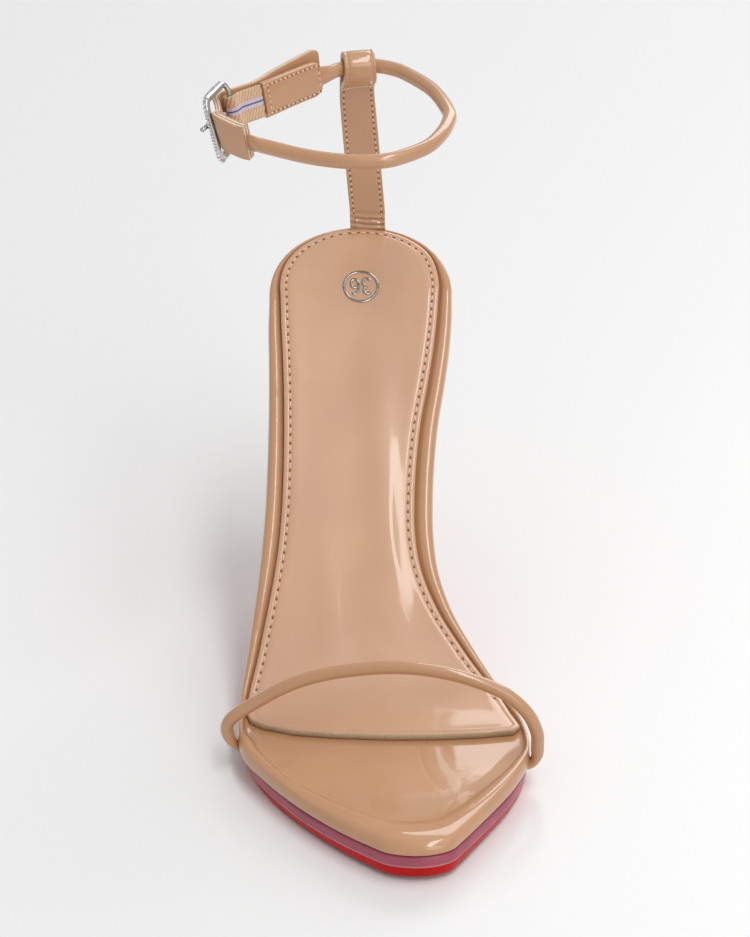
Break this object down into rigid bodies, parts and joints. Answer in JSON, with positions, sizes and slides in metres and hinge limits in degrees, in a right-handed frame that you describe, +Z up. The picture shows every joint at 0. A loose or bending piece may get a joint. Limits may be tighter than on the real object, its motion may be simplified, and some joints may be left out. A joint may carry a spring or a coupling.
{
  "type": "strappy heeled sandal",
  "caption": "High-heeled sandal with a pointed open toe, a round cord over the toes, a back strap and a buckled cord round the ankle.",
  "frame": {"origin": "on the floor under the ball of the foot, where the tread is flat", "axes": "toe towards -Y, heel towards +Y, inner side of the right foot towards +X, +Z up from the floor"},
  "size_m": [0.0919, 0.2085, 0.1695],
  "materials": {
    "patent_leather": "nude patent leather with a clear glossy coat",
    "lining_leather": "smooth pinkish nude leather with a low sheen",
    "sole_leather": "red lacquered sole leather, its edge band polished mauve",
    "top_piece_rubber": "moulded nude rubber",
    "elastic_webbing": "ribbed beige elastic",
    "silver_metal": "bright silver plating with a fine crystal texture"
  },
  "bodies": {
    "root": {"outsole": "sole_leather", "footbed": "patent_leather", "insole_sock": "lining_leather", "heel": "patent_leather", "heel_tip": "top_piece_rubber", "toe_strap": "patent_leather", "back_strap": "patent_leather", "ankle_strap": "patent_leather", "strap_patch": "patent_leather", "elastic": "elastic_webbing", "billet": "patent_leather", "buckle_frame": "silver_metal", "buckle_prong": "silver_metal"}
  },
  "joints": []
}
